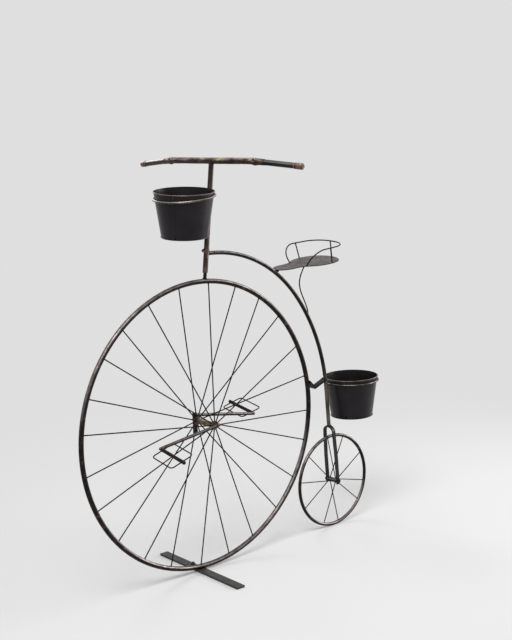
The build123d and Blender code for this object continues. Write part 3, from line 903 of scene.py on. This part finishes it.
# Pots
def dress_pot(name):
    """A folded seam down the side, a lip ring in tan wear that is also a painted highlight, and a rolled bead
    at the foot.
    """
    axes = plane_axes(RINGS[name].rise)
    along, side, normal = axes
    base = RINGS[name].centre + normal * (RINGS[name].below_top - POT_HEIGHT)
    out = toward(along, side, SEAM_AZIMUTH)
    level = normal.cross(out)
    seam = Sheet()
    rings = []
    for height in SEAM_HEIGHTS:
        reach = POT_BASE_RADIUS + (POT_RIM_RADIUS - POT_BASE_RADIUS) * height / POT_HEIGHT
        middle = base + normal * height
        rings.append([middle + out * (reach + high) + level * wide for wide, high in SEAM_SECTION])
    seam.add_rings(rings)
    seam.piece(f"{name}_pot_seam", f"{name}_pot", "pot_black", "pot_black")
    # Lip ring whose tan is wear and a painted highlight
    lip = Sheet()
    hoop(lip, base + normal * (POT_HEIGHT - POT_BEAD), axes, POT_RIM_RADIUS, POT_BEAD + LIP_PROUD)
    lip.piece(f"{name}_pot_lip", f"{name}_pot", "lip_wear_and_highlight", "pot_black")
    foot = Sheet()
    hoop(foot, base + normal * FOOT_BEAD, axes, POT_BASE_RADIUS + FOOT_BEAD_OUT, FOOT_BEAD)
    foot.piece(f"{name}_pot_foot", f"{name}_pot", "pot_black", "pot_black")


for name in RINGS:
    dress_pot(name)

# The crooked ring in place of the front pot's plain one
front_hoop = Sheet()
hoop(front_hoop, HOOP_CENTRE, plane_axes(HOOP_RISE), HOOP_RADIUS, HOOP_WIRE, around=180, section=20)
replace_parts(front_hoop.piece("crooked_front_ring", "frame", "silver_black"), "front_ring")

# Bark of the handlebar: how fast its noise changes round the bar and along it, and where that starts
BARK_LUMPS = (1.3, 0.022, 7)
BARK_RIDGES = (4.2, 0.05, 0)
BARK_CRACKS = (7.0, 0.35, 0)

# Sizes of the bark, its taper and its mesh
BARK_LUMP_HEIGHT = 0.4
BARK_RIDGE_HEIGHT = 0.35
BARK_CRACK_HEIGHT = 0.16
BARK_THICK = 0.5
BARK_LIMIT = 8.2
BARK_END_Y = GRIP_INNER_Y - 0.1
BARK_TAPER_Y = 168
BARK_TAPER = 0.5
BARK_STEP = 0.75
BARK_AROUND = 56

# Knot at each bend, which swells all round and bulges below, with an eye of two lumps in front
KNOT_Y = 156
KNOT_SWELL = 0.8
KNOT_ROUGH = 0.5
KNOT_ZOOM = 2.5
KNOT_WIDTH = 10
KNOT_BULGE = 1.5
KNOT_BULGE_WIDTH = 5.5
KNOT_BULGE_TOP = 0.25
KNOT_EYE = Vector((-0.86, 0, 0.51)).normalized()
KNOT_EYE_REACH = BAR + 0.9
KNOT_EYE_SHIFTS = (-1.6, 1.6)
KNOT_EYE_LUMP = (2.7, 0.8)


def bar_line(y):
    """The bar's middle at y, which bends back and down on each side."""
    past = abs(y) - BAR_MIDDLE
    past = (past + math.hypot(past, BAR_BEND)) / 2 / (BAR_HALF - BAR_MIDDLE)
    return stem_point(BAR_Z) + Y * y + (X * BAR_SWEEP - Z * BAR_DROP) * past


def bark_noise(y, out, grain, zoom=1.0):
    """Noise at y on the side that out points to."""
    around, along, start = grain
    return noise.noise(Vector((out.x * around, out.z * around, y * along + start)) * zoom)


def knot_share(far, width):
    """A share that is 1 at the knot and falls off along the bar."""
    return math.exp(-(((far - KNOT_Y) / width) ** 2))


def bark_radius(y, out):
    """The bark's radius at y: lumps, lengthwise ridges, cracks, the knot and a taper into the grip."""
    far = abs(y)
    ridge = 0.5 - 2 * abs(bark_noise(y, out, BARK_RIDGES))
    radius = BAR + BARK_THICK + BARK_LUMP_HEIGHT * bark_noise(y, out, BARK_LUMPS)
    radius += BARK_RIDGE_HEIGHT * ridge + BARK_CRACK_HEIGHT * bark_noise(y, out, BARK_CRACKS)
    swell = KNOT_SWELL + KNOT_ROUGH * bark_noise(y, out, BARK_LUMPS, KNOT_ZOOM)
    radius += knot_share(far, KNOT_WIDTH) * swell
    if far > BARK_TAPER_Y:
        radius -= BARK_TAPER * (far - BARK_TAPER_Y) / (GRIP_INNER_Y - BARK_TAPER_Y)
    below = min(max(KNOT_BULGE_TOP - out.z, 0), 1)
    return min(radius, BARK_LIMIT) + KNOT_BULGE * knot_share(far, KNOT_BULGE_WIDTH) * below


# Bark in place of the plain handlebar
bark = Sheet()
outs = [toward(X, Z, turn) for turn in turns(BARK_AROUND)]
count = int(2 * BARK_END_Y / BARK_STEP)
rings = []
for i in range(count + 1):
    y = -BARK_END_Y + 2 * BARK_END_Y * i / count
    rings.append([bar_line(y) + out * bark_radius(y, out) for out in outs])
bark.add_rings(rings)
bark_piece = bark.piece("bark_handlebar", "frame", "bark", "rubbed_copper")
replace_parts(bark_piece, "handlebar")

eyes = Sheet()
for sign in (-1, 1):
    for shift in KNOT_EYE_SHIFTS:
        middle = bar_line(sign * (KNOT_Y + shift))
        lump(eyes, middle + KNOT_EYE * KNOT_EYE_REACH, KNOT_EYE, *KNOT_EYE_LUMP)
eyes.piece("knot_eyes", "frame", "thin_black", "rubbed_copper")

# Light, in metres and watts. Lamps are rows of name, place, width and power
LAMP_TARGET = Vector((0.15, 0, 0.5))
LAMPS = (
    ("key", (-1.5, -1.3, 3.2), 2.2, 76),
    ("fill", (3.1, -1.3, 1.2), 2.4, 88),
    ("back", (0.8, 2.8, 2.4), 1.6, 28),
)
PALE_BACKGROUND = (0.74, 0.74, 0.7437, 1)
AMBIENT = 0.38


def add_lamp(name, place, size, power):
    data = bpy.data.lights.new(name, "AREA")
    data.shape = "DISK"
    data.size = size
    data.energy = power
    made = new_object(name, data)
    made.location = place
    made.rotation_euler = (LAMP_TARGET - Vector(place)).to_track_quat("-Z", "Y").to_euler()


def set_world():
    """White ambient light, and a pale background for the rays that show it."""
    world = bpy.data.worlds.new("studio")
    world.use_nodes = True
    bpy.context.scene.world = world
    tree = world.node_tree
    tree.nodes.clear()
    ambient = node(tree, "ShaderNodeBackground", Color=(1, 1, 1, 1), Strength=AMBIENT)
    background = node(tree, "ShaderNodeBackground", Color=PALE_BACKGROUND, Strength=1.0)
    rays = node(tree, "ShaderNodeLightPath").outputs
    shown = computed(tree, "MAXIMUM", rays["Is Camera Ray"], rays["Is Glossy Ray"])
    shown = computed(tree, "MAXIMUM", shown, rays["Is Transmission Ray"])
    mix = node(tree, "ShaderNodeMixShader")
    tree.links.new(shown, mix.inputs["Fac"])
    tree.links.new(ambient.outputs["Background"], mix.inputs[1])
    tree.links.new(background.outputs["Background"], mix.inputs[2])
    output = node(tree, "ShaderNodeOutputWorld")
    tree.links.new(mix.outputs["Shader"], output.inputs["Surface"])


for row in LAMPS:
    add_lamp(*row)
set_world()

# Pale floor that fades into the background, in metres
FLOOR_COLOUR = (0.74, 0.74, 0.745, 1)
FLOOR_PLACE = (0.15, 0, -0.0003)
FLOOR_REACH = 4.0
FADE_START = 0.6
FADE_END = 1.9


def floor_material():
    made, tree, output = new_material("floor")
    shader = node(tree, "ShaderNodeBsdfPrincipled", Roughness=0.9)
    shader.inputs["Base Color"].default_value = FLOOR_COLOUR
    shader.inputs["Specular IOR Level"].default_value = 0.1
    clear = node(tree, "ShaderNodeBsdfTransparent")
    place = node(tree, "ShaderNodeTexCoord")
    far = node(tree, "ShaderNodeVectorMath", operation="LENGTH")
    tree.links.new(place.outputs["Object"], far.inputs[0])
    fade = node(tree, "ShaderNodeMapRange", interpolation_type="SMOOTHSTEP")
    fade.inputs["From Min"].default_value = FADE_START
    fade.inputs["From Max"].default_value = FADE_END
    tree.links.new(far.outputs["Value"], fade.inputs["Value"])
    mix = node(tree, "ShaderNodeMixShader")
    tree.links.new(fade.outputs["Result"], mix.inputs["Fac"])
    tree.links.new(shader.outputs["BSDF"], mix.inputs[1])
    tree.links.new(clear.outputs["BSDF"], mix.inputs[2])
    tree.links.new(mix.outputs["Shader"], output.inputs["Surface"])
    return made


def floor_piece():
    mesh = bpy.data.meshes.new("floor")
    corners = [(x * FLOOR_REACH, y * FLOOR_REACH, 0) for x, y in ((-1, -1), (1, -1), (1, 1), (-1, 1))]
    mesh.from_pydata(corners, [], [(0, 1, 2, 3)])
    mesh.materials.append(floor_material())
    piece = new_object("floor", mesh)
    piece.location = FLOOR_PLACE
    return piece


floor_piece()

scene_view = bpy.context.scene.view_settings
scene_view.view_transform = "Standard"
